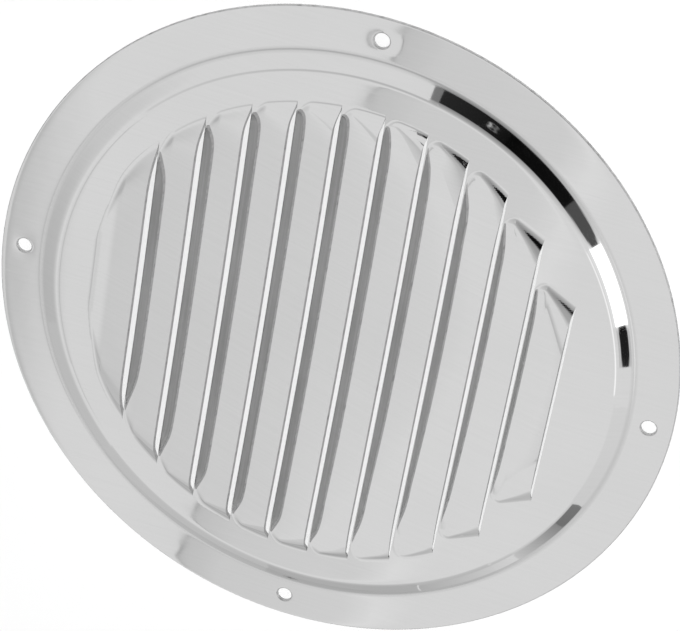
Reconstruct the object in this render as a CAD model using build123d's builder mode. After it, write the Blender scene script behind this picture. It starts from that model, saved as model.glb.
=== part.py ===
"""Round louvred vent plate, pressed from one sheet of stainless steel. Millimetres.

A flat flange with four screw holes carries a raised round panel. Eleven parallel
slits are cut in the panel, and beside each one the sheet is pressed up into a low
hood whose mouth faces +X. The back of the flange lies on z = 0 and the hoods
stand towards +Z. The louvres run along Y.
"""
from build123d import *
import os
from math import atan2, cos, degrees, radians, sin, sqrt, tan

# The sheet and the flat flange, with its width up to the foot of the raised wall
sheet = 1.0
flange_diameter = 200.0
flange_width = 12.8
rim_round = 0.3

# The screw holes: how far in from the rim they are centred, and the rounded
# front edge that a punch leaves
screw_inset = 6.75
screw_count = 4
screw_hole = 4.3
hole_roll = 0.4

# The raised panel: how far its front stands above the front of the flange,
# how far its wall runs inwards, and the bends at the foot and the shoulder
# of that wall, measured on the front
panel_rise = 2.8
wall_run = 5.0
foot_bend = 2.0
shoulder_bend = 3.0

# The louvres: the middle slit lies a little to the right of the centre,
# because every hood reaches to the left of its own slit. The hoods fill a round
# field inside the shoulder, and the last slit lies a set way inside that field.
louvre_count = 11
middle_slit = 5.0
field_inset = 8.2
last_slit_inset = 7.5

# The ramp of one hood: the flat strip between its root and the slit before it,
# how far the lip draws back from its own slit, the slope and the bend at the root
root_land = 0.1
lip_gap = 0.85
ramp_angle = 20.3
root_bend = 1.5

# The ends of a hood: the slope of the end wall, the bend over it, the little that its
# crown clears the lip, and how far an end may reach past the place where its slit
# meets the field
end_angle = 45.0
end_bend = 3.0
crown_rise = 0.1
end_reach = 5.5

# Values worked out from those
flange_radius = flange_diameter / 2
screw_circle = flange_diameter - 2 * screw_inset
foot_radius = flange_radius - flange_width
shoulder_radius = foot_radius - wall_run
field_radius = shoulder_radius - field_inset
panel_front = sheet + panel_rise
wall_angle = degrees(atan2(panel_rise, wall_run))
half_count = (louvre_count - 1) / 2
louvre_pitch = (field_radius - last_slit_inset - middle_slit) / half_count
slit_places = [middle_slit + louvre_pitch * (n - half_count) for n in range(louvre_count)]
root_run = root_bend * tan(radians(ramp_angle) / 2)
ramp_run = louvre_pitch - root_land - root_run - lip_gap
lip_height = ramp_run * tan(radians(ramp_angle))
lip_front = (-lip_gap, lip_height)
lip_back = (-lip_gap + sheet * sin(radians(ramp_angle)), lip_height - sheet * cos(radians(ramp_angle)))
ramp_corner = -lip_gap - ramp_run


def bend_shift(angle):
    """How far a bend's sharp corner moves along the sheet from its front to its back."""
    return sheet * tan(radians(angle) / 2)


def hood_section():
    """The wedge under one ramp, with the slit edge at (0, 0) and the panel front at height 0."""
    start = ramp_corner - root_run - sheet / 2
    inside = -sheet / 2
    with BuildSketch() as section:
        with BuildLine():
            ramp = FilletPolyline((start, 0), (ramp_corner, 0), lip_front, radius=root_bend)
            Polyline(ramp @ 1, lip_back, (lip_back[0], inside), (start, inside), ramp @ 0)
        make_face()
    return section.sketch


def hollow_section():
    """The space under one ramp, one sheet thickness below it and open to the slit."""
    corner = ramp_corner + bend_shift(ramp_angle)
    bend = root_bend + sheet
    start = corner - bend * tan(radians(ramp_angle) / 2) - sheet / 4
    below = -2 * sheet
    with BuildSketch() as section:
        with BuildLine():
            ramp = FilletPolyline((start, -sheet), (corner, -sheet), lip_back, radius=bend)
            Polyline(ramp @ 1, (0, lip_back[1]), (0, below), (start, below), ramp @ 0)
        make_face()
    return section.sketch


def end_section(foot, depth):
    """Half of the outline that ends a hood, or the same outline at a depth under its skin.

    The wall leaves the panel at foot, climbs at the end angle and bends over to the crown.
    """
    run = 1 / tan(radians(end_angle))
    crown = lip_height + crown_rise - depth
    skin = foot - depth / sin(radians(end_angle))
    below = 2 * sheet
    with BuildSketch() as section:
        with BuildLine():
            wall = FilletPolyline(
                (0, crown),
                (skin - crown * run, crown),
                (skin + below * run, -below),
                radius=end_bend - depth,
            )
            Polyline(wall @ 1, (0, -below), wall @ 0)
        make_face()
    return section.sketch


def louvre_row(section, depth):
    """One section pushed along Y at every slit and closed by the end walls at a depth.

    The ends follow a circle round the field. On the right, where that would make a
    long slanted end, a square end stops the hood a set way past its slit.
    """
    with BuildPart() as round_end:
        with BuildSketch(Plane.XZ):
            with Locations((0, panel_front)):
                add(end_section(field_radius, depth))
        revolve(axis=Axis.Z)
    with BuildPart() as square_ends:
        for x in slit_places:
            foot = sqrt(field_radius**2 - x**2) + end_reach
            with BuildSketch(Plane.YZ.offset(x - louvre_pitch)):
                with Locations((0, panel_front)):
                    add(end_section(foot, depth))
                mirror(about=Plane.YZ)
            extrude(amount=louvre_pitch)
    with BuildPart() as row:
        with BuildSketch(Plane.XZ):
            with Locations(*[(x, panel_front) for x in slit_places]):
                add(section)
        extrude(amount=flange_radius, both=True)
        add(round_end.part, mode=Mode.INTERSECT)
        add(square_ends.part, mode=Mode.INTERSECT)
    return row.part


# The pressed plate
with BuildPart() as vent_plate:
    with BuildSketch(Plane.XZ) as wall_section:
        with BuildLine():
            front = FilletPolyline(
                (0, panel_front),
                (shoulder_radius, panel_front),
                (foot_radius, sheet),
                (flange_radius, sheet),
                radius=[shoulder_bend, foot_bend],
            )
            back = FilletPolyline(
                (0, panel_rise),
                (shoulder_radius - bend_shift(wall_angle), panel_rise),
                (foot_radius - bend_shift(wall_angle), 0),
                (flange_radius, 0),
                radius=[shoulder_bend - sheet, foot_bend + sheet],
            )
            Line(front @ 0, back @ 0)
            Line(front @ 1, back @ 1)
        make_face()
        fillet(wall_section.vertices().group_by(Axis.X)[-1], rim_round)
    revolve(axis=Axis.Z)

    # The hoods stand on the panel, and the spaces under them open the slits
    add(louvre_row(hood_section(), 0))
    add(louvre_row(hollow_section(), sheet), mode=Mode.SUBTRACT)

    with PolarLocations(screw_circle / 2, screw_count):
        Hole(screw_hole / 2)
    hole_rims = vent_plate.edges().filter_by(
        lambda edge: edge.geom_type == GeomType.CIRCLE
        and abs(edge.radius - screw_hole / 2) < sheet / 100
        and abs(edge.center().Z - sheet) < sheet / 100
    )
    fillet(hole_rims, hole_roll)

vent_plate.part.label = "vent_plate"

os.makedirs("parts", exist_ok=True)
export_step(vent_plate.part, "parts/vent_plate.step")
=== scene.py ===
"""Round louvred vent plate of mirror polished stainless steel, hung free in a white studio.

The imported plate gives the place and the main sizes. A finer sheet replaces it here, with
soft creases at the ends of the hoods, rolled hole edges and the slight unevenness of
pressed metal, because a mirror shows every one of them. Shapes are worked out in
millimetres and written in metres.
"""

import math

import bpy
import numpy as np
from mathutils import Matrix, Vector
from mathutils.geometry import delaunay_2d_cdt


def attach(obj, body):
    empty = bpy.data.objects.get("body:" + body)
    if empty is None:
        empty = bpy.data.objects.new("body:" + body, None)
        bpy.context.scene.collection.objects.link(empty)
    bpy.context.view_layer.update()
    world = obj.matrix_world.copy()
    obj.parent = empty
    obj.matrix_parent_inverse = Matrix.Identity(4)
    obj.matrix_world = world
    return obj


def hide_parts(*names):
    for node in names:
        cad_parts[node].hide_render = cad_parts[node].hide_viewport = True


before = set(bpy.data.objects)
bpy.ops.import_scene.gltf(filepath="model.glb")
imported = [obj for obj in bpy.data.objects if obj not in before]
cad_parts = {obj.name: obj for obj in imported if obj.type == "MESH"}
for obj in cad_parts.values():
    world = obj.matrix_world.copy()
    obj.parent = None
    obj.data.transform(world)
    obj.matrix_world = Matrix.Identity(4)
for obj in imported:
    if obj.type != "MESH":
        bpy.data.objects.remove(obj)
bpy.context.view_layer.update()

MM = 0.001

# The plate, as in the source of the solid
SHEET = 1.0
FLANGE_RADIUS = 100.0
RIM_ROUND = 0.3
FOOT_RADIUS = 87.2
SHOULDER_RADIUS = 82.2
PANEL_RISE = 2.8
PANEL = SHEET + PANEL_RISE
HOLE_CIRCLE = 93.25
HOLE_RADIUS = 2.15
HOLE_ROLL = 0.4
HOLES = 4
LOUVRES = 11
PITCH = 12.3
MIDDLE_SLIT = 5.0
SLITS = [MIDDLE_SLIT + PITCH * (n - LOUVRES // 2) for n in range(LOUVRES)]
LIP_GAP = 0.85
RAMP_ANGLE = math.radians(20.3)
LIP_HEIGHT = 4.1
RAMP_CORNER = -LIP_GAP - LIP_HEIGHT / math.tan(RAMP_ANGLE)

# The raised wall: in how many places its height is worked out, how far its two bends are
# shifted and how soft they are, where it is steepest and how its slope falls off from there
PROFILE_PLACES = 20201
FOOT_SHIFT = 0.05
FOOT_SOFT = 0.24
SHOULDER_SHIFT = 0.1
SHOULDER_SOFT = 0.34
STEEPEST = 85.2
STEEP_REACH = 3.0
STEEP_FALL = 0.02

# The trace of the foot's bend that runs on into the flange, as a share of the slope
TRACE = 0.03
TRACE_SHIFT = 0.3
TRACE_SOFT = 0.8

# Where the flange starts to fall towards its rim, and by how much
RIM_FALL_FROM = 97.5
RIM_FALL = 0.03

# How far the shoulder stands off the centre, and towards where
OFF_CENTRE = 0.45
OFF_TOWARDS = (0.87, 0.5)

# The dimple that the punch leaves round a screw hole
DIMPLE = 0.05
DIMPLE_SOFT = 0.5

# The slits end on a circle, and the last ones run a little past it
SLIT_CIRCLE = 73.7
LONG_FROM = 9
LONG_STEP = 0.3

# The bend at the root of a ramp: sharp along the slit before it, softer past its end,
# and softest on the first hood, which has no slit before it
ROOT_SHARP = 0.8
ROOT_SOFT = 2.0
ROOT_CHANGE = 2.0
ROOT_FIRST = 18.0

# The line that ends a hood: how far past its slit it may reach and how softly it stops
# there, the corner it cuts off at the root, and from which hood on it is straight
END_REACH = 5.0
END_SOFT = 1.0
ROOT_CORNER = 4.3
CORNER_DROP = 3.5
STRAIGHT_FROM = 9
STRAIGHT_SLOPE = 0.5

# The ends of the hoods, from the left: how steep each end wall is, the share of its full
# height at which each lip starts, and how far in from the end it is full
END_SLOPE = (0.56, 0.66, 0.8, 0.85, 0.85, 0.9, 1.0, 0.95, 0.95, 0.65, 0.65)
TAPER_START = (0.92, 0.92, 0.92, 0.90, 0.88, 0.80, 0.50, 0.24, 0.27, 0.56, 0.56)
TAPER_REACH = (15.0, 15.0, 15.0, 15.0, 15.0, 15.0, 17.0, 20.0, 20.0, 15.0, 15.0)

# The bend at the foot of an end wall, and how sharp the ridge is where it meets the ramp
END_FOOT = 1.5
RIDGE_POWER = 5.0

# How high the hoods are pressed: fully inside a circle, and less outside it to the right
DRAW_FULL = 1.03
DRAW_MIDDLE = (-10.0, 12.0)
DRAW_RADIUS = 45.0
DRAW_SOFT = 6.0
DRAW_LOSS = 0.010
DRAW_FROM = -5.0
DRAW_CHANGE = 40.0

# The sideways bow of the strips: its most, where along the louvres, how far it reaches,
# and how much the strips to the right draw back
BOW = 0.87
BOW_MIDDLE = 10.0
BOW_FIELD = 76.0
BOW_FADE = 6.0
PULL_BACK = 0.3
PULL_FROM = 20.0
PULL_CHANGE = 35.0

# The waviness of the pressed sheet, which dies out towards the rim
WAVE = 0.010
RIPPLE = 0.004
WAVE_END = 96.0
WAVE_FADE = 8.0

# The middle and half width of the line at the foot: duller from the polishing wheel, and darkened in colour
# as painted shade in the crease
FOOT_LINE = 87.35
FOOT_LINE_HALF = 1.1

# The mesh of the field: rows across the louvres, and columns along them, which lie close
# together at the root of each ramp
FIELD_LIMIT = 76.4
ROW_STEP = 0.5
ROOT_COLUMNS = (-12.15, -12.0, -11.85, -11.7, -11.5, -11.25, -10.9, -10.5, -10.0)
COLUMN_STEP = 0.5
EVEN_COLUMNS = 20
LEFT_COLUMNS = 16
RIGHT_COLUMNS = 14

# The mesh round the field: rings from the panel over the wall to the rim, and between two
# of them a window round each screw hole
SPOKES = 480
JOIN_RADIUS = 78.0
PANEL_RINGS = [79.0, 80.0]
WALL_RINGS = list(np.arange(80.6, 89.01, 0.3))
WINDOW_LOW = 89.6
WINDOW_HIGH = 97.0
WINDOW_RINGS = [WINDOW_LOW, 90.4, 91.4, 92.4, HOLE_CIRCLE, 94.1, 95.1, 96.1, WINDOW_HIGH]
RIM_RINGS = [97.8, 98.5, 99.1, 99.45, 99.7]
WINDOW_SPOKES = 5
HOLE_STEPS = 48
HOLE_CIRCLES = (3.0, 2.75, HOLE_RADIUS + HOLE_ROLL)
ROUND_ANGLES = [math.radians(a) for a in (22.5, 45, 67.5, 90)]

# The material slots of the sheet
FRONT, BACK, EDGE = range(3)

# The polished wall, where the cards round it are aimed
WALL_RADIUS = 84.7
WALL_MIDDLE = 2.4


def bend_step(distance, width):
    """A soft step from 0 to 1."""
    return 1 / (1 + np.exp(-distance / width))


def softly_positive(value, width):
    """A value where it is above zero and zero below, with a soft bend between."""
    return 0.5 * (value + np.sqrt(value**2 + width**2))


def slit_half(n):
    """Half the length of slit n."""
    circle = SLIT_CIRCLE + LONG_STEP * max(0, n - LONG_FROM + 1)
    return math.sqrt(circle**2 - SLITS[n] ** 2)


def profile_table():
    """Height of the plate's front over the radius, without the hoods."""
    r = np.linspace(0, FLANGE_RADIUS + 1, PROFILE_PLACES)
    foot = bend_step(FOOT_RADIUS + FOOT_SHIFT - r, FOOT_SOFT)
    shoulder = bend_step(r - SHOULDER_RADIUS - SHOULDER_SHIFT, SHOULDER_SOFT)
    steep = 1 - STEEP_FALL * np.clip(r - STEEPEST, -STEEP_REACH, STEEP_REACH) ** 2
    trace = TRACE * bend_step(FOOT_RADIUS + TRACE_SHIFT - r, TRACE_SOFT)
    slope = foot * shoulder * steep + trace * shoulder
    fall = np.concatenate([[0], np.cumsum((slope[1:] + slope[:-1]) / 2) * (r[1] - r[0])])
    height = PANEL - PANEL_RISE * fall / fall[-1]
    to_rim = np.clip((r - RIM_FALL_FROM) / (FLANGE_RADIUS - RIM_FALL_FROM), 0, None)
    return r, height - RIM_FALL * to_rim**3


PROFILE_R, PROFILE_Z = profile_table()


def end_line(n, t):
    """How far from the middle the end of hood n lies, at t measured from its slit."""
    reach = slit_half(n)
    line = np.sqrt(np.maximum(SLIT_CIRCLE**2 - (SLITS[n] + t) ** 2, 1.0))
    line = line + reach - math.sqrt(SLIT_CIRCLE**2 - SLITS[n] ** 2)
    if n >= STRAIGHT_FROM:
        line = reach - STRAIGHT_SLOPE * t
    line = reach + END_REACH - softly_positive(reach + END_REACH - line, END_SOFT)
    line = line + softly_positive(END_REACH, END_SOFT) - END_REACH
    corner = np.clip(-t - (PITCH - ROOT_CORNER), 0, None) / ROOT_CORNER
    return line - CORNER_DROP * corner**2


def ramp(n, x, y):
    """Height of the ramp of hood n over the panel, x measured from its slit edge."""
    if n == 0:
        bend = np.full_like(y, ROOT_FIRST)
    else:
        past = np.clip((np.abs(y) - slit_half(n - 1) + ROOT_CHANGE) / ROOT_CHANGE, 0, 1)
        bend = ROOT_SHARP + (ROOT_SOFT - ROOT_SHARP) * past
    along = x - RAMP_CORNER + bend * math.tan(RAMP_ANGLE / 2)
    bend_end = bend * math.sin(RAMP_ANGLE)
    curve = bend - np.sqrt(np.maximum(bend**2 - np.clip(along, 0, bend_end) ** 2, 0))
    return np.where(along < bend_end, curve, (x - RAMP_CORNER) * math.tan(RAMP_ANGLE))


def end_wall(n, d):
    """Height of the end wall of hood n over the panel, d measured inwards from its line."""
    climb = np.where(d < END_FOOT, np.clip(d, 0, None) ** 2 / (2 * END_FOOT), d - END_FOOT / 2)
    return END_SLOPE[n] * climb


def taper(n, d):
    """The share of its full height that hood n has at d from its end."""
    start = TAPER_START[n]
    return start + (1 - start) * (1 - (1 - np.clip(d / TAPER_REACH[n], 0, 1)) ** 2)


def both(a, b):
    """The lower of two heights, with a rounded ridge where they meet."""
    nearly_flat = 1e-7
    a = np.maximum(a, nearly_flat)
    b = np.maximum(b, nearly_flat)
    return (a**-RIDGE_POWER + b**-RIDGE_POWER) ** (-1 / RIDGE_POWER)


def draw(x, y):
    """How high the hoods are pressed, as a share: less towards the right and its lower end."""
    away = np.hypot(x - DRAW_MIDDLE[0], y - DRAW_MIDDLE[1]) - DRAW_RADIUS
    to_right = np.clip((x - DRAW_FROM) / DRAW_CHANGE, 0, 1)
    return DRAW_FULL - DRAW_LOSS * softly_positive(away, DRAW_SOFT) * to_right


def bow(x, y):
    """The sideways bow of the strips between the slits, which the long lips pull with them."""
    share = 1 - (x**2 + (y - BOW_MIDDLE) ** 2) / BOW_FIELD**2
    fade = np.clip((JOIN_RADIUS - np.hypot(x, y)) / BOW_FADE, 0, 1)
    back = PULL_BACK * np.clip((x - PULL_FROM) / PULL_CHANGE, 0, 1)
    return (BOW * np.clip(share, 0, None) - back) * fade**2 * (3 - 2 * fade)


def hood(n, t, y):
    """The shift in x and the height of hood n at t from its slit and y from its middle."""
    share = draw(SLITS[n] + t, y)
    from_end = slit_half(n) - np.abs(y)
    lip = both(LIP_HEIGHT * share * taper(n, from_end), end_wall(n, from_end))
    drawn = LIP_GAP * (lip / LIP_HEIGHT) * np.clip(1 + t / PITCH, 0, 1)
    tiny = 0.01
    lean = (end_line(n, t + tiny) - end_line(n, t - tiny)) / (2 * tiny)
    inside = (end_line(n, t) - np.abs(y)) / np.sqrt(1 + lean**2)
    return -drawn, both(ramp(n, t - drawn, y) * share * taper(n, inside), end_wall(n, inside))


def unevenness(x, y):
    """The slight waviness of a pressed sheet: one long wave and a short ripple, freely chosen."""
    wave = WAVE * np.sin(0.071 * x + 0.043 * y + 0.4) * np.cos(0.052 * y - 0.031 * x + 1.1)
    return wave + RIPPLE * np.sin(0.19 * x - 0.11 * y + 2.0) * np.sin(0.14 * y + 0.6)


def hole_centre(k):
    """The middle of screw hole k."""
    turn = 2 * math.pi * k / HOLES
    return HOLE_CIRCLE * math.cos(turn), HOLE_CIRCLE * math.sin(turn)


def surface(u, y, strip):
    """The front of the sheet: u and y on the flat blank, and the strip between two slits."""
    x = u.copy()
    z = np.zeros_like(u)
    for n in range(LOUVRES):
        mine = strip == n
        if mine.any():
            shift, height = hood(n, u[mine] - SLITS[n], y[mine])
            x[mine] += shift
            z[mine] = height
    x = x + bow(u, y)
    r = np.hypot(x, y)
    inner = np.clip((FOOT_RADIUS - r) / (FOOT_RADIUS - SHOULDER_RADIUS), 0, 1)
    aside = OFF_CENTRE * (x * OFF_TOWARDS[0] + y * OFF_TOWARDS[1]) / np.maximum(r, 1.0)
    z = z + np.interp(r - aside * inner**2 * (3 - 2 * inner), PROFILE_R, PROFILE_Z)
    z = z + unevenness(x, y) * np.clip((WAVE_END - r) / WAVE_FADE, 0, 1)
    for k in range(HOLES):
        centre = hole_centre(k)
        away = np.hypot(x - centre[0], y - centre[1]) - HOLE_RADIUS
        z = z - DIMPLE * np.exp(-np.clip(away, 0, None) / DIMPLE_SOFT)
    return np.stack([x, y, z], axis=-1)


class Sheet:
    """The points of the flat blank and the faces between them."""

    def __init__(self):
        self.plan = []
        self.faces = []

    def point(self, u, y, strip=-1):
        """A new point of the blank. Returns its number."""
        self.plan.append((u, y, strip))
        return len(self.plan) - 1

    def circle(self, centre, radius, steps):
        """A closed loop of new points."""
        turns = [2 * math.pi * k / steps for k in range(steps)]
        return [
            self.point(centre[0] + radius * math.cos(turn), centre[1] + radius * math.sin(turn))
            for turn in turns
        ]

    def band(self, inner, outer, skip=()):
        """Faces between two loops of as many points, apart from the places to skip."""
        for k in range(len(inner)):
            if k not in skip:
                b = (k + 1) % len(inner)
                self.faces.append([inner[k], outer[k], outer[b], inner[b]])

    def fill(self, loops, keep):
        """Triangles between closed loops of points, where keep says so for their middle."""
        ids = sorted({k for edge in loops for k in edge})
        place = {k: n for n, k in enumerate(ids)}
        spots = [Vector(self.plan[k][:2]) for k in ids]
        edges = [(place[a], place[b]) for a, b in loops]
        inside_only = 1
        same_spot = 1e-6
        _, _, faces, source, _, _ = delaunay_2d_cdt(spots, edges, [], inside_only, same_spot)
        for face in faces:
            corners = [ids[source[k][0]] for k in face]
            middle = sum((Vector(self.plan[k][:2]) for k in corners), Vector((0, 0))) / len(corners)
            if keep(middle.x, middle.y):
                self.faces.append(corners)


def loop_edges(points):
    """The edges of a closed loop of points."""
    return list(zip(points, points[1:] + points[:1]))


def edge_key(a, b):
    """The name of an edge, the same from both its ends."""
    return min(a, b), max(a, b)


def lattice_columns():
    """The columns of the field: their place, their strip and the slit that they run along."""
    left = np.linspace(-FIELD_LIMIT, SLITS[0] - PITCH, LEFT_COLUMNS)
    right = np.linspace(SLITS[-1], FIELD_LIMIT, RIGHT_COLUMNS)[1:]
    across = list(ROOT_COLUMNS) + [-COLUMN_STEP * k for k in reversed(range(EVEN_COLUMNS))]
    columns = [(float(u), 0, None) for u in left]
    for n, slit in enumerate(SLITS):
        columns += [(slit + t, n, n if t == 0 else None) for t in across]
        columns.append((slit, n + 1, n))
    return columns + [(float(u), LOUVRES, None) for u in right]


def build_lattice(sheet):
    """The field of louvres. Returns its outer edges and the points on both sides of the slits.

    Rows are stretched a little, so that one of them meets the end of every slit.
    """
    columns = lattice_columns()
    last_row = int(FIELD_LIMIT / ROW_STEP)
    ends = [round(slit_half(n) / ROW_STEP) for n in range(LOUVRES)]
    stretch = [slit_half(n) / (ends[n] * ROW_STEP) for n in range(LOUVRES)]
    ids = {}
    for c, (u, strip, slit) in enumerate(columns):
        pull = float(np.interp(u, SLITS, stretch))
        for j in range(-last_row, last_row + 1):
            if math.hypot(u, j * ROW_STEP) > FIELD_LIMIT:
                continue
            if slit is not None and strip == slit + 1 and abs(j) >= ends[slit]:
                ids[c, j] = ids[c - 1, j]
            else:
                ids[c, j] = sheet.point(u, j * ROW_STEP * pull, strip)

    uses = {}
    for c in range(len(columns) - 1):
        if columns[c][1] != columns[c + 1][1]:
            continue
        for j in range(-last_row, last_row):
            corners = [(c, j), (c + 1, j), (c + 1, j + 1), (c, j + 1)]
            if all(k in ids for k in corners):
                face = [ids[k] for k in corners]
                sheet.faces.append(face)
                for a, b in loop_edges(face):
                    uses[edge_key(a, b)] = uses.get(edge_key(a, b), 0) + 1

    slit_sides = []
    along_slits = set()
    for c, (_, strip, slit) in enumerate(columns):
        if slit is not None:
            side = [ids[c, j] for j in range(-ends[slit], ends[slit] + 1)]
            slit_sides.append((side, strip == slit))
            along_slits.update(edge_key(a, b) for a, b in zip(side, side[1:]))
    outer = [edge for edge, count in uses.items() if count == 1 and edge not in along_slits]
    return outer, slit_sides


def outline_polygon(sheet, edges):
    """The closed outer edge of the lattice, as a list of corners in order."""
    after = {}
    for a, b in edges:
        after.setdefault(a, []).append(b)
        after.setdefault(b, []).append(a)
    start = edges[0][0]
    path = [start]
    came, here = None, start
    while True:
        ahead = [k for k in after[here] if k != came]
        came, here = here, ahead[0]
        if here == start:
            break
        path.append(here)
    return np.array([sheet.plan[k][:2] for k in path])


def in_polygon(x, y, polygon):
    """Whether a place lies inside a polygon."""
    px, py = polygon[:, 0], polygon[:, 1]
    qx, qy = np.roll(px, -1), np.roll(py, -1)
    crosses = (py > y) != (qy > y)
    with np.errstate(divide="ignore", invalid="ignore"):
        at = px + (y - py) / (qy - py) * (qx - px)
    return bool(np.count_nonzero(crosses & (x < at)) % 2)


def build_rings(sheet, first):
    """The rings from the field to the rim, with a window left open round each screw hole."""
    radii = PANEL_RINGS + WALL_RINGS + WINDOW_RINGS + RIM_RINGS
    rings = [first] + [sheet.circle((0, 0), float(r), SPOKES) for r in radii]
    low = 1 + radii.index(WINDOW_LOW)
    high = 1 + radii.index(WINDOW_HIGH)
    per_hole = SPOKES // HOLES
    window = {k for k in range(SPOKES) if (k + WINDOW_SPOKES) % per_hole < 2 * WINDOW_SPOKES}
    for a in range(len(rings) - 1):
        sheet.band(rings[a], rings[a + 1], window if low <= a < high else ())
    borders = []
    for n in range(HOLES):
        spokes = [(n * per_hole + k) % SPOKES for k in range(-WINDOW_SPOKES, WINDOW_SPOKES + 1)]
        border = [rings[low][k] for k in spokes]
        border += [rings[a][spokes[-1]] for a in range(low + 1, high)]
        border += [rings[high][k] for k in reversed(spokes)]
        border += [rings[a][spokes[0]] for a in range(high - 1, low, -1)]
        borders.append(border)
    return borders, rings[-1]


def build_hole(sheet, centre, border):
    """The sheet between the border of a window and its screw hole. Returns the hole's rim."""
    circles = [sheet.circle(centre, radius, HOLE_STEPS) for radius in HOLE_CIRCLES]
    slack = 0.01

    def outside(x, y):
        """Whether a place lies outside the largest circle."""
        return math.hypot(x - centre[0], y - centre[1]) > HOLE_CIRCLES[0] - slack

    sheet.fill(loop_edges(border) + loop_edges(circles[0]), outside)
    for big, small in zip(circles, circles[1:]):
        sheet.band(small, big)
    return circles[-1]


def build_blank():
    """The whole blank. Returns it with the sides of its slits, the hole rims and the outer rim."""
    sheet = Sheet()
    outer, slit_sides = build_lattice(sheet)
    first = sheet.circle((0, 0), JOIN_RADIUS, SPOKES)
    polygon = outline_polygon(sheet, outer)
    sheet.fill(outer + loop_edges(first), lambda x, y: not in_polygon(x, y, polygon))
    borders, rim = build_rings(sheet, first)
    centres = [hole_centre(k) for k in range(HOLES)]
    hole_rims = [(centre, build_hole(sheet, centre, b)) for centre, b in zip(centres, borders)]
    return sheet, slit_sides, hole_rims, rim


def two_sides(sheet):
    """The corners of the front and of the back, one sheet thickness apart."""
    plan = np.array(sheet.plan)
    u, y, strip = plan[:, 0], plan[:, 1], plan[:, 2].astype(int)
    front = surface(u, y, strip)
    tiny = 0.02
    along_u = surface(u + tiny, y, strip) - surface(u - tiny, y, strip)
    along_y = surface(u, y + tiny, strip) - surface(u, y - tiny, strip)
    normal = np.cross(along_u, along_y)
    normal /= np.linalg.norm(normal, axis=1)[:, None]
    back = front - normal * SHEET

    # The back of the flange is flat
    flat_from = 88.6
    r = np.hypot(front[:, 0], front[:, 1])
    flat = np.clip(r - flat_from, 0, 1)[:, None]
    return front, back * (1 - flat) + front * [1, 1, 0] * flat


class Shell:
    """The corners and faces of the finished sheet, each face with its material slot."""

    def __init__(self, front, back):
        self.verts = [tuple(p) for p in front] + [tuple(p) for p in back]
        self.to_back = len(front)
        self.faces = []
        self.slots = []

    def add(self, face, slot):
        """A new face in a material slot."""
        self.faces.append(face)
        self.slots.append(slot)

    def skirt(self, top, shape, centre, turn_out):
        """A rounded edge from a loop of the front to the same loop of the back.

        The points of shape give how far from the centre and how high it runs.
        """
        rows = [top]
        for away, z in shape:
            row = []
            for corner in top:
                x, y = self.verts[corner][0] - centre[0], self.verts[corner][1] - centre[1]
                scale = away / math.hypot(x, y)
                self.verts.append((centre[0] + x * scale, centre[1] + y * scale, z))
                row.append(len(self.verts) - 1)
            rows.append(row)
        rows.append([k + self.to_back for k in top])
        for upper, lower in zip(rows, rows[1:]):
            for k in range(len(top)):
                b = (k + 1) % len(top)
                face = [upper[k], lower[k], lower[b], upper[b]]
                self.add(face if turn_out else face[::-1], EDGE)


def build_shell():
    """The finished sheet: both sides, the cut faces in the slits, and the edges."""
    sheet, slit_sides, hole_rims, rim = build_blank()
    shell = Shell(*two_sides(sheet))
    for face in sheet.faces:
        a, b, c = (np.array(sheet.plan[k][:2]) for k in face[:3])
        if np.cross(b - a, c - a) < 0:
            face = face[::-1]
        shell.add(list(face), FRONT)
        shell.add([k + shell.to_back for k in reversed(face)], BACK)
    for side, is_lip in slit_sides:
        for a, b in zip(side, side[1:]):
            wall = [a, a + shell.to_back, b + shell.to_back, b]
            shell.add(wall if is_lip else wall[::-1], EDGE)

    top = float(shell.verts[rim[0]][2])
    flat_edge = FLANGE_RADIUS - RIM_ROUND
    rounds = [(flat_edge + RIM_ROUND * math.sin(a), RIM_ROUND * (1 - math.cos(a))) for a in ROUND_ANGLES]
    shape = [(away, top - drop) for away, drop in rounds] + rounds[::-1]
    shell.skirt(rim, shape, (0, 0), True)
    for centre, hole_rim in hole_rims:
        top = float(shell.verts[hole_rim[0]][2])
        shape = [
            (HOLE_RADIUS + HOLE_ROLL * (1 - math.sin(a)), top - HOLE_ROLL * (1 - math.cos(a)))
            for a in ROUND_ANGLES
        ]
        shape.append((HOLE_RADIUS, 0.0))
        shell.skirt(hole_rim, shape, centre, False)
    return shell


def build_plate():
    """The plate as an object, smooth within each side and sharp along the cuts."""
    shell = build_shell()
    mesh = bpy.data.meshes.new("vent_plate_sheet")
    mesh.from_pydata([(x * MM, y * MM, z * MM) for x, y, z in shell.verts], [], shell.faces)
    mesh.update()
    mesh.polygons.foreach_set("material_index", shell.slots)
    mesh.polygons.foreach_set("use_smooth", [True] * len(shell.faces))
    owner = {}
    for polygon in mesh.polygons:
        for key in polygon.edge_keys:
            owner.setdefault(key, set()).add(polygon.material_index)
    is_sharp = []
    for edge in mesh.edges:
        x, y, _ = shell.verts[edge.vertices[0]]
        at_rim = math.hypot(x, y) > FLANGE_RADIUS - 1
        is_sharp.append(len(owner[tuple(sorted(edge.vertices))]) > 1 and not at_rim)
    sharp = mesh.attributes.new("sharp_edge", "BOOLEAN", "EDGE")
    sharp.data.foreach_set("value", is_sharp)
    plate = bpy.data.objects.new("pressed_sheet", mesh)
    bpy.context.scene.collection.objects.link(plate)
    return plate


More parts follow.
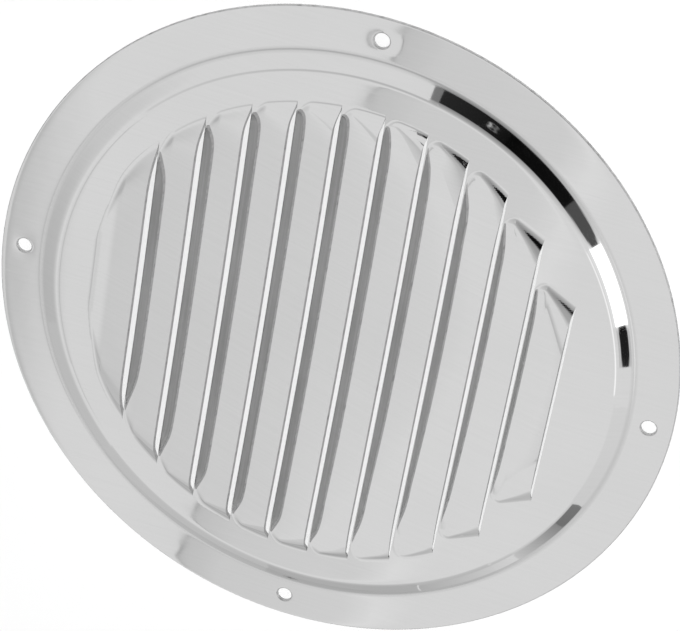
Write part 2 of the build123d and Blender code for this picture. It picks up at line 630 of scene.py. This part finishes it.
class Finish:
    """A node material with a shader and the procedural patterns that drive its sockets."""

    def __init__(self, name, metallic):
        self.material = bpy.data.materials.new(name)
        self.material.use_nodes = True
        self.tree = self.material.node_tree
        self.shader = self.tree.nodes["Principled BSDF"]
        self.shader.inputs["Metallic"].default_value = metallic
        self.place = self.tree.nodes.new("ShaderNodeTexCoord").outputs["Object"]

    def noise(self, stretch, detail=2.0):
        """Noise between 0 and 1, given by how many cells it has in a metre along each axis."""
        mapping = self.tree.nodes.new("ShaderNodeMapping")
        mapping.inputs["Scale"].default_value = stretch
        self.tree.links.new(self.place, mapping.inputs["Vector"])
        node = self.tree.nodes.new("ShaderNodeTexNoise")
        node.inputs["Scale"].default_value = 1.0
        node.inputs["Detail"].default_value = detail
        self.tree.links.new(mapping.outputs[0], node.inputs["Vector"])
        return node.outputs["Fac"]

    def between(self, value, low, high, start=0.3, end=0.7):
        """A value stretched from start..end to low..high, and held there."""
        node = self.tree.nodes.new("ShaderNodeMapRange")
        node.inputs["From Min"].default_value = start
        node.inputs["From Max"].default_value = end
        node.inputs["To Min"].default_value = low
        node.inputs["To Max"].default_value = high
        self.tree.links.new(value, node.inputs["Value"])
        return node.outputs["Result"]

    def combine(self, operation, a, b):
        """The result of the named operation on two values, or on a value and a number."""
        node = self.tree.nodes.new("ShaderNodeMath")
        node.operation = operation
        for socket, value in zip(node.inputs, (a, b)):
            if isinstance(value, (int, float)):
                socket.default_value = value
            else:
                self.tree.links.new(value, socket)
        return node.outputs[0]

    def radius(self):
        """The distance from the middle of the plate, in metres."""
        flat = self.tree.nodes.new("ShaderNodeVectorMath")
        flat.operation = "MULTIPLY"
        flat.inputs[1].default_value = (1, 1, 0)
        self.tree.links.new(self.place, flat.inputs[0])
        length = self.tree.nodes.new("ShaderNodeVectorMath")
        length.operation = "LENGTH"
        self.tree.links.new(flat.outputs[0], length.inputs[0])
        return length.outputs["Value"]

    def drive(self, socket, value):
        """A socket of the shader, driven by a value."""
        self.tree.links.new(value, self.shader.inputs[socket])

    def grey(self, value):
        """The base colour, as a grey."""
        mix = self.tree.nodes.new("ShaderNodeCombineColor")
        for socket in mix.inputs[:3]:
            self.tree.links.new(value, socket)
        self.drive("Base Color", mix.outputs[0])

    def relief(self, value, depth):
        """A bump whose full height is given in metres."""
        bump = self.tree.nodes.new("ShaderNodeBump")
        bump.inputs["Distance"].default_value = depth
        self.tree.links.new(value, bump.inputs["Height"])
        self.drive("Normal", bump.outputs[0])


def polished_front():
    """Mirror polish: faint buffing streaks, hairline scratches, a duller line along the foot with painted
    shade in its colour.
    """
    look = Finish("polished_front", 1.0)
    steel = 0.65
    cloud = look.between(look.noise((22, 22, 22), 3.0), 0.985, 1.015)
    streak = look.between(look.noise((40, 1500, 40)), 0.99, 1.01)
    from_foot = look.combine("ABSOLUTE", look.combine("SUBTRACT", look.radius(), FOOT_LINE * MM), 0)
    # A darker colour in a ring along the foot of the wall: painted shade in the crease
    foot = look.between(from_foot, 0.82, 1.0, 0.0, FOOT_LINE_HALF * MM)
    tone = look.combine("MULTIPLY", look.combine("MULTIPLY", cloud, streak), foot)
    look.grey(look.combine("MULTIPLY", tone, steel))
    hairline = look.between(look.noise((35, 2600, 35), 1.0), 0.0, 0.10, 0.70, 0.76)
    soft = look.between(look.noise((90, 130, 90), 3.0), 0.025, 0.055)
    dull = look.between(from_foot, 0.14, 0.0, 0.0, FOOT_LINE_HALF * MM)
    look.drive("Roughness", look.combine("ADD", look.combine("ADD", soft, hairline), dull))
    look.relief(look.noise((150, 150, 150), 1.0), 6e-6)
    return look.material


def rolled_back():
    """The plain back, with the fine streaks of the rolling mill along the louvres."""
    look = Finish("rolled_back", 1.0)
    streak = look.between(look.noise((1800, 30, 60)), 0.40, 0.48)
    cloud = look.between(look.noise((45, 45, 45), 4.0), 0.93, 1.05)
    look.grey(look.combine("MULTIPLY", streak, cloud))
    look.drive("Roughness", look.between(look.noise((1200, 40, 60), 3.0), 0.28, 0.42))
    look.relief(look.noise((2200, 60, 60)), 4e-6)
    return look.material


def cut_edge():
    """The sheared edges: dull metal with the marks of the blade and small burrs."""
    look = Finish("cut_edge", 1.0)
    marks = look.between(look.noise((900, 900, 160), 4.0), 0.43, 0.53)
    burrs = look.between(look.noise((420, 420, 420), 3.0), 1.0, 0.72, 0.58, 0.70)
    look.grey(look.combine("MULTIPLY", marks, burrs))
    look.drive("Roughness", look.between(look.noise((700, 700, 200)), 0.34, 0.52))
    look.relief(look.noise((1500, 1500, 300), 3.0), 2e-5)
    return look.material


def pale_paper():
    """The floor's matt paper."""
    look = Finish("floor", 0.0)
    look.grey(look.between(look.noise((6, 6, 6), 3.0), 0.755, 0.765))
    look.drive("Roughness", look.between(look.noise((900, 900, 900)), 0.85, 0.95))
    return look.material


plate = build_plate()
plate.data.materials.append(polished_front())
plate.data.materials.append(rolled_back())
plate.data.materials.append(cut_edge())
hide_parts("vent_plate")
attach(plate, "root")


# The camera: where it stands, the point that it looks at, how far it is rolled from
# holding +Y upright, and its lens, all fitted to the outline, the holes and the slits
CAMERA_PLACE = Vector((136.7, 417.6, 654.3)) * MM
CAMERA_AIM = Vector((1.65, 6.54, 0.0)) * MM
CAMERA_ROLL = math.radians(10.08)
CAMERA_LENS = 147.56
towards_camera = (CAMERA_PLACE - CAMERA_AIM).normalized()


def place_camera():
    """The camera of the main view."""
    level = Vector((0, 1, 0)).cross(towards_camera).normalized()
    upright = towards_camera.cross(level)
    right = level * math.cos(CAMERA_ROLL) + upright * math.sin(CAMERA_ROLL)
    up = towards_camera.cross(right)
    turned = Matrix((right, up, towards_camera)).transposed().to_4x4()
    turned.translation = CAMERA_PLACE
    data = bpy.data.cameras.new("camera")
    data.sensor_width = 36
    data.lens = CAMERA_LENS
    data.clip_start = 0.01
    data.clip_end = 50
    camera = bpy.data.objects.new("camera", data)
    camera.matrix_world = turned
    bpy.context.scene.collection.objects.link(camera)
    bpy.context.scene.camera = camera


def lay_floor():
    """The floor, far enough below that the gaps show it as white as the rest. In metres."""
    half = 8
    drop = 0.4
    mesh = bpy.data.meshes.new("floor")
    corners = [(-half, -half, 0), (half, -half, 0), (half, half, 0), (-half, half, 0)]
    mesh.from_pydata(corners, [], [(0, 1, 2, 3)])
    mesh.materials.append(pale_paper())
    floor = bpy.data.objects.new("floor", mesh)
    floor.location = (0, 0, -drop)
    bpy.context.scene.collection.objects.link(floor)


def hang_tent():
    """The white tent round the studio, greyer towards one side of the horizon."""
    grey_side = (-0.8, -0.1, -0.6)
    world = bpy.data.worlds.new("studio")
    bpy.context.scene.world = world
    world.use_nodes = True
    tree = world.node_tree
    spot = tree.nodes.new("ShaderNodeTexCoord")
    toward = tree.nodes.new("ShaderNodeVectorMath")
    toward.operation = "DOT_PRODUCT"
    toward.inputs[1].default_value = grey_side
    tone = tree.nodes.new("ShaderNodeValToRGB")
    tree.links.new(spot.outputs["Generated"], toward.inputs[0])
    tree.links.new(toward.outputs["Value"], tone.inputs["Fac"])
    tree.links.new(tone.outputs["Color"], tree.nodes["Background"].inputs["Color"])
    stops = tone.color_ramp.elements
    stops[0].position = 0.19
    stops[0].color = (1, 1, 1, 1)
    stops[1].position = 0.60
    stops[1].color = (0.67, 0.67, 0.67, 1)
    for position, shade in ((0.28, 0.95), (0.36, 0.885), (0.46, 0.84), (0.55, 0.72)):
        stops.new(position).color = (shade, shade, shade, 1)


place_camera()
lay_floor()
hang_tent()

# How far from the plate the cards stand, in metres
CARD_DISTANCE = 1.1
LENS_DISTANCE = 1.0
FAR_DISTANCE = 6.0

# A slope beyond the wall's steepest part, where a card ends unseen
PAST_WALL = 37


def mirrored(spot, slope=0.0, azimuth=0.0, distance=CARD_DISTANCE):
    """The point of the studio seen in the metal at a spot, where it leans outwards by a slope."""
    spot = Vector(spot) * MM
    view = (CAMERA_PLACE - spot).normalized()
    lean = math.radians(slope)
    turn = math.radians(azimuth)
    normal = Vector((math.sin(lean) * math.cos(turn), math.sin(lean) * math.sin(turn), math.cos(lean)))
    return spot + (2 * normal.dot(view) * normal - view) * distance


def seen_in_wall(slope, azimuth, distance=CARD_DISTANCE):
    """The point of the studio seen in the raised wall."""
    turn = math.radians(azimuth)
    spot = (WALL_RADIUS * math.cos(turn), WALL_RADIUS * math.sin(turn), WALL_MIDDLE)
    return mirrored(spot, slope, azimuth, distance)


def card(name, rows):
    """A card that only the metal sees. Each row holds points with their brightness."""
    wide = len(rows[0])
    faces = []
    for a in range(len(rows) - 1):
        for b in range(wide - 1):
            k = a * wide + b
            faces.append((k, k + 1, k + wide + 1, k + wide))
    mesh = bpy.data.meshes.new(name)
    mesh.from_pydata([point for row in rows for point, _ in row], [], faces)
    glow = mesh.attributes.new("glow", "FLOAT", "POINT")
    glow.data.foreach_set("value", [shade for row in rows for _, shade in row])
    material = bpy.data.materials.new(name)
    material.use_nodes = True
    nodes = material.node_tree.nodes
    nodes.remove(nodes["Principled BSDF"])
    light = nodes.new("ShaderNodeEmission")
    level = nodes.new("ShaderNodeAttribute")
    level.attribute_name = "glow"
    material.node_tree.links.new(level.outputs["Fac"], light.inputs["Strength"])
    material.node_tree.links.new(light.outputs[0], nodes["Material Output"].inputs["Surface"])
    mesh.materials.append(material)
    obj = bpy.data.objects.new(name, mesh)
    bpy.context.scene.collection.objects.link(obj)
    obj.visible_camera = False
    obj.visible_shadow = False
    obj.visible_diffuse = False


def wall_card(name, azimuths, bands, distance=CARD_DISTANCE):
    """A card seen in the raised wall between two azimuths, in degrees.

    Each band is a slope of the metal and the brightness seen there at either azimuth.
    """
    widest = 3
    steps = max(2, math.ceil(abs(azimuths[1] - azimuths[0]) / widest))
    rows = []
    for slope, shade_0, shade_1 in bands:
        row = []
        for share in np.linspace(0, 1, steps + 1):
            azimuth = azimuths[0] + (azimuths[1] - azimuths[0]) * share
            shade = shade_0 + (shade_1 - shade_0) * share
            row.append((seen_in_wall(slope, azimuth, distance), shade))
        rows.append(row)
    card(name, rows)


def lens(name, azimuth, slope):
    """The glint of a lens seen in the wall: a ring of light, brightest on one side."""
    ring = ((0.30, 0.0), (0.5, 0.9), (0.65, 0.5), (0.8, 0.08), (1.0, 0.0))
    half_azimuth = 1.5
    half_slope = 0.7
    bright_side = 0.5
    dimmest = 0.30
    steps = 24
    rows = []
    for size, shade in ring:
        row = []
        for k in range(steps + 1):
            turn = 2 * math.pi * k / steps
            at = azimuth + half_azimuth * size * math.cos(turn)
            tilt = slope + half_slope * size * math.sin(turn)
            lit = dimmest + (1 - dimmest) * max(0.0, math.cos(turn - bright_side)) ** 2
            row.append((seen_in_wall(tilt, at, LENS_DISTANCE), shade * lit))
        rows.append(row)
    card(name, rows)


def flat_card(name, line, edges):
    """A card seen in the flange and the flat of the panel, in stripes beside a line.

    The line runs from x0, y0 to x1, y1 over the plate. Each edge is its distance to the
    right of the line and the brightness seen there.
    """
    x0, y0, x1, y1 = line
    steps = 5
    rows = []
    for share in np.linspace(0, 1, steps + 1):
        row = []
        for aside, shade in edges:
            spot = (x0 + aside + (x1 - x0) * share, y0 + (y1 - y0) * share, SHEET)
            row.append((mirrored(spot), shade))
        rows.append(row)
    card(name, rows)


# What the wall mirrors from the top to the right: a grey screen, the camera and its stand
wall_card("grey_band", (138, 79), [(6, 1.0, 0.95), (10, 0.88, 0.68), (16, 0.88, 0.66), (20, 1.0, 0.95)])
wall_card(
    "camera_side",
    (79, 77.3),
    [(6, 0.95, 0.9), (12, 0.7, 0.6), (25, 0.55, 0.5), (28.3, 0.28, 0.26), (PAST_WALL, 0.28, 0.26)],
)
wall_card(
    "camera_left",
    (77.3, 63),
    [(7, 0.9, 0.9), (14, 0.62, 0.6), (22, 0.48, 0.48), (27.3, 0.36, 0.38)]
    + [(28.5, 0.04, 0.04), (29, 0.03, 0.008), (PAST_WALL, 0.03, 0.008)],
)
wall_card(
    "camera_right",
    (63, 46.8),
    [(7, 0.9, 1.0), (14, 0.6, 0.9), (22, 0.48, 0.85), (27.3, 0.38, 0.75)]
    + [(28.7, 0.03, 0.45), (29.4, 0.004, 0.01), (PAST_WALL, 0.004, 0.004)],
)
wall_card(
    "camera_stand",
    (46.8, 41),
    [(9, 1.0, 1.05), (20, 0.9, 1.0), (27.3, 0.8, 0.9), (28.8, 0.6, 0.8)]
    + [(29.4, 0.10, 0.75), (30.8, 0.11, 0.7), (31.4, 0.11, 0.11), (PAST_WALL, 0.11, 0.11)],
)
wall_card(
    "camera_stand_end",
    (41, 39.2),
    [(9, 1.05, 1.1), (20, 1.0, 1.0), (27.3, 0.9, 1.0), (28.8, 0.8, 0.9), (30.8, 0.7, 0.9)]
    + [(31.4, 0.11, 0.8), (32.1, 0.11, 0.11), (PAST_WALL, 0.11, 0.11)],
)
wall_card(
    "camera_stand_tip",
    (39.2, 37.4),
    [(9, 1.1, 1.1), (20, 1.0, 1.0), (27.3, 1.0, 1.0), (28.8, 0.9, 1.1), (31.4, 0.8, 1.1)]
    + [(32.1, 0.11, 1.1), (32.7, 0.11, 0.9), (33.1, 0.11, 0.11), (PAST_WALL, 0.11, 0.11)],
)
lens("lens", 66.4, 32.9)

# On the right: a soft light, its dark stand and the pale side of the studio
wall_card(
    "soft_light",
    (37.4, 20.9),
    [(20, 1.1, 1.1), (27.4, 1.12, 1.15), (28.9, 1.2, 1.2), (29.4, 2.4, 2.6), (PAST_WALL, 2.4, 2.6)],
)
wall_card("light_edge", (37.4, 6), [(7, 1.0, 1.0), (9, 1.3, 1.4), (14, 1.3, 1.4), (17, 1.05, 1.05)])
wall_card(
    "light_stand_top",
    (20.9, 19.4),
    [(28.8, 0.9, 0.75), (29.6, 1.0, 0.75), (31.9, 1.1, 0.75), (32.5, 0.75, 0.02)]
    + [(33.0, 0.02, 0.01), (PAST_WALL, 0.02, 0.01)],
)
wall_card(
    "light_stand",
    (19.4, 14.4),
    [(28.8, 0.75, 0.75), (31.8, 0.75, 0.75), (32.4, 0.02, 0.02), (33.0, 0.02, 0.02), (PAST_WALL, 0.01, 0.01)],
)
wall_card(
    "light_stand_foot",
    (14.4, 12.0),
    [(28.8, 0.75, 0.75), (31.8, 0.75, 0.75), (32.4, 0.02, 0.75), (33.0, 0.02, 0.04), (PAST_WALL, 0.01, 0.01)],
)
wall_card("right_side", (4, -20.3), [(16, 0.98, 0.98), (22, 0.95, 0.91), (PAST_WALL, 0.95, 0.91)])

# Lower right: two stools before a pale gap. Below and on the left: the low wall
wall_card(
    "dark_stool",
    (-19.5, -27.3),
    [(22, 0.92, 0.92), (27.6, 0.85, 0.8), (28.8, 0.65, 0.6), (29.4, 0.28, 0.24), (PAST_WALL, 0.28, 0.24)],
)
wall_card(
    "grey_stool",
    (-27.3, -39.5),
    [(20, 0.92, 0.92), (27.6, 0.80, 0.85), (29.3, 0.36, 0.78), (PAST_WALL, 0.36, 0.78)],
)
wall_card(
    "pale_gap",
    (-39.5, -45),
    [(16, 0.95, 0.9), (24, 0.84, 0.78), (28.4, 0.74, 0.74), (29.3, 0.96, 0.88), (PAST_WALL, 0.96, 0.88)],
)
wall_card(
    "low_wall_right",
    (-45, -62),
    [(10, 0.95, 0.95), (17, 0.78, 0.76), (28.4, 0.72, 0.68), (29.4, 0.86, 0.62), (PAST_WALL, 0.86, 0.62)],
)
wall_card(
    "low_wall",
    (-62, -94.4),
    [(10, 0.95, 0.92), (17, 0.76, 0.76), (27, 0.62, 0.60), (PAST_WALL, 0.60, 0.60)],
)
wall_card(
    "low_wall_left",
    (-94, -136),
    [(10, 0.92, 0.92), (17, 0.80, 0.82), (27, 0.72, 0.76), (PAST_WALL, 0.68, 0.72)],
)
wall_card("low_wall_far", (-136, -165), [(23, 0.80, 0.80), (27, 0.75, 0.74), (PAST_WALL, 0.74, 0.72)])
wall_card("left_far", (205, 150), [(1.5, 0.90, 0.97), (4.5, 0.90, 0.96), (6.5, 1.0, 1.0)], FAR_DISTANCE)

# What the flat metal mirrors: the joint between two screens, the greyer screen right of
# it with its bright edge, and the darker end of the studio on the left
SEAM = (9.6, 122.0, -43.0, -133.0)
LEFT_END = (-78.0, 80.0, -78.0, -80.0)
flat_card("screen_joint", SEAM, [(-0.7, 0.75), (0.2, 0.40), (1.0, 0.70)])
flat_card("screen_shadow", SEAM, [(1.0, 0.78), (14.0, 0.90)])
flat_card("grey_screen", SEAM, [(14.0, 0.90), (52.0, 0.93), (58.0, 1.0)])
flat_card("screen_edge", SEAM, [(58.0, 1.0), (62.0, 1.07), (72.0, 1.0)])
flat_card("left_end", LEFT_END, [(0.0, 0.99), (-9.0, 0.92), (-24.0, 0.72), (-30.0, 0.70)])


def lamp(name, direction, distance, size, power):
    """A square lamp that lights the studio and doesn't show in the metal."""
    data = bpy.data.lights.new(name, "AREA")
    data.size = size
    data.energy = power
    obj = bpy.data.objects.new(name, data)
    bpy.context.scene.collection.objects.link(obj)
    obj.location = Vector(direction).normalized() * distance
    obj.rotation_euler = (-obj.location).to_track_quat("-Z", "Y").to_euler()
    obj.visible_glossy = False


lamp("key", towards_camera, 1.3, 0.12, 9)
lamp("fill", (0.5, -0.2, 1), 1.5, 0.8, 6)

bpy.context.scene.view_settings.view_transform = "Standard"
